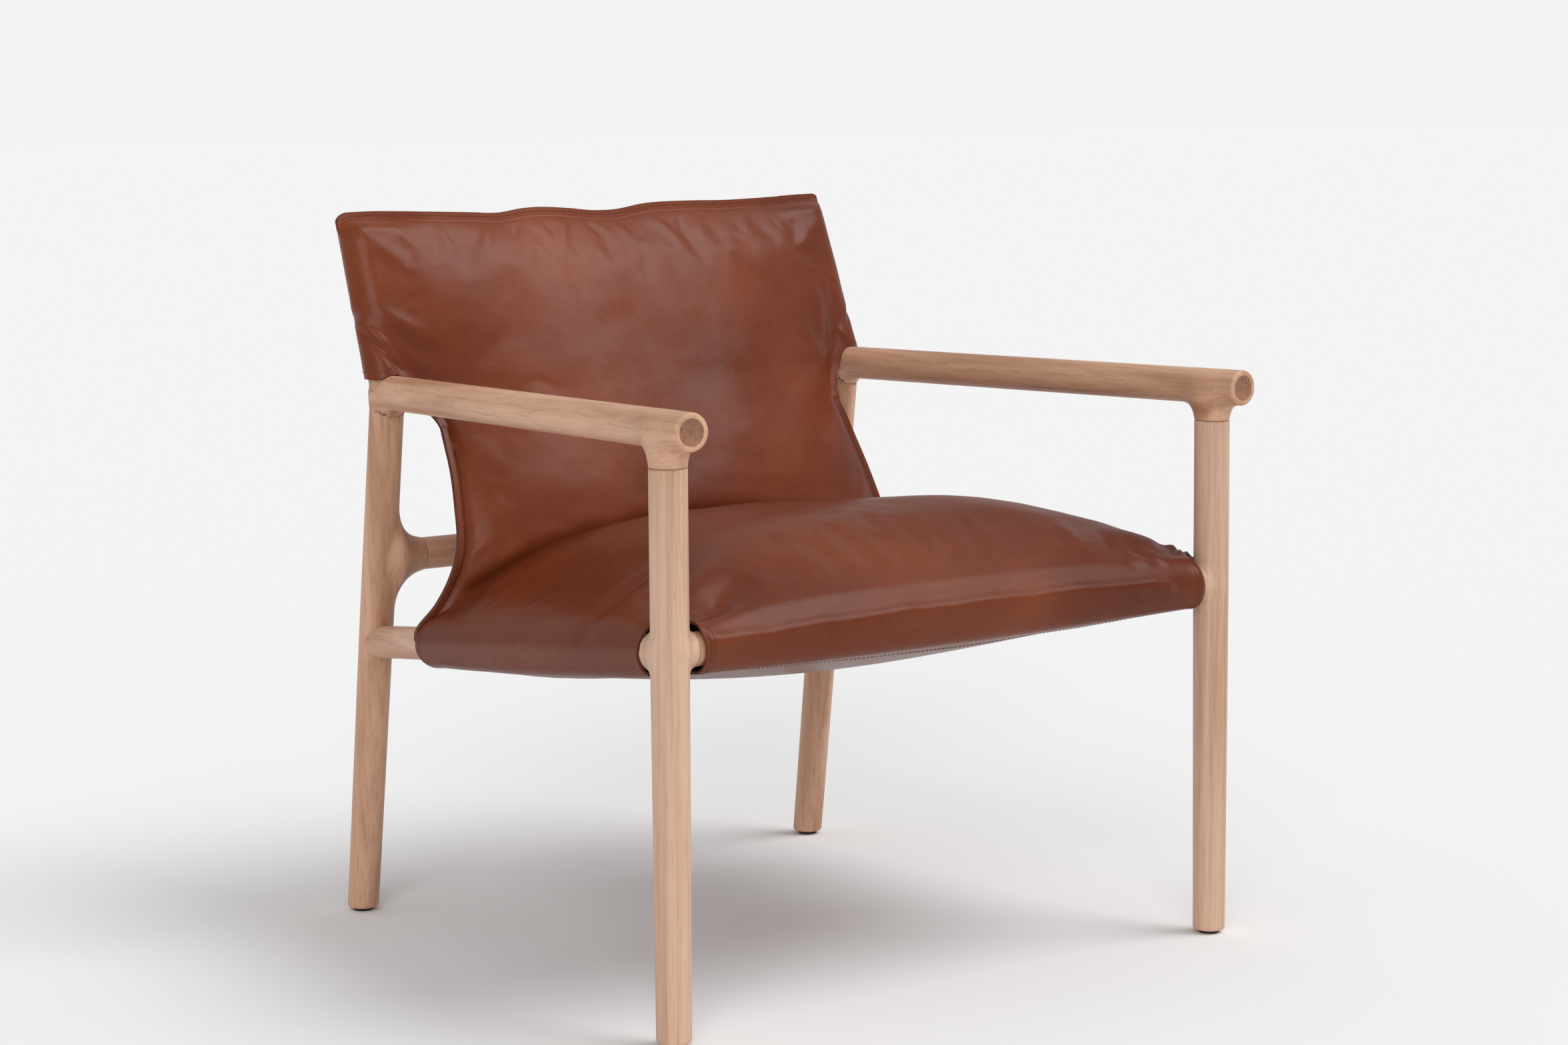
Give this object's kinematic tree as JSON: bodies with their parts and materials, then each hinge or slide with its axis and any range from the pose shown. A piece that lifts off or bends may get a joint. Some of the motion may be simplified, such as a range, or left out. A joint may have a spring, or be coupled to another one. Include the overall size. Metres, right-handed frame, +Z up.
{
  "type": "leather sling lounge chair",
  "caption": "Lounge chair with a round timber frame, arms necked onto the front legs, and a padded leather sling for its seat and back.",
  "frame": {"origin": "on the floor, under the middle of the chair's bounding box", "axes": "+Z up; the sitter faces -Y; +X is the sitter's left"},
  "size_m": [0.7198, 0.7006, 0.745],
  "materials": {
    "timber": "satin oil",
    "leather": "semi-gloss",
    "filling": "matt",
    "glide": "matt"
  },
  "bodies": {
    "root": {"front_leg_left": "timber", "front_leg_right": "timber", "rear_leg_left": "timber", "rear_leg_right": "timber", "arm_left": "timber", "arm_right": "timber", "side_rail_left": "timber", "side_rail_right": "timber", "back_post_left": "timber", "back_post_right": "timber", "front_rail": "timber", "rear_cross_rail": "timber", "front_glide_left": "glide", "front_glide_right": "glide", "rear_glide_left": "glide", "rear_glide_right": "glide", "seat_cover": "leather", "seat_underside": "leather", "seat_pad": "filling", "back_cover": "leather", "back_rear_panel": "leather", "back_pad": "filling"}
  },
  "joints": []
}
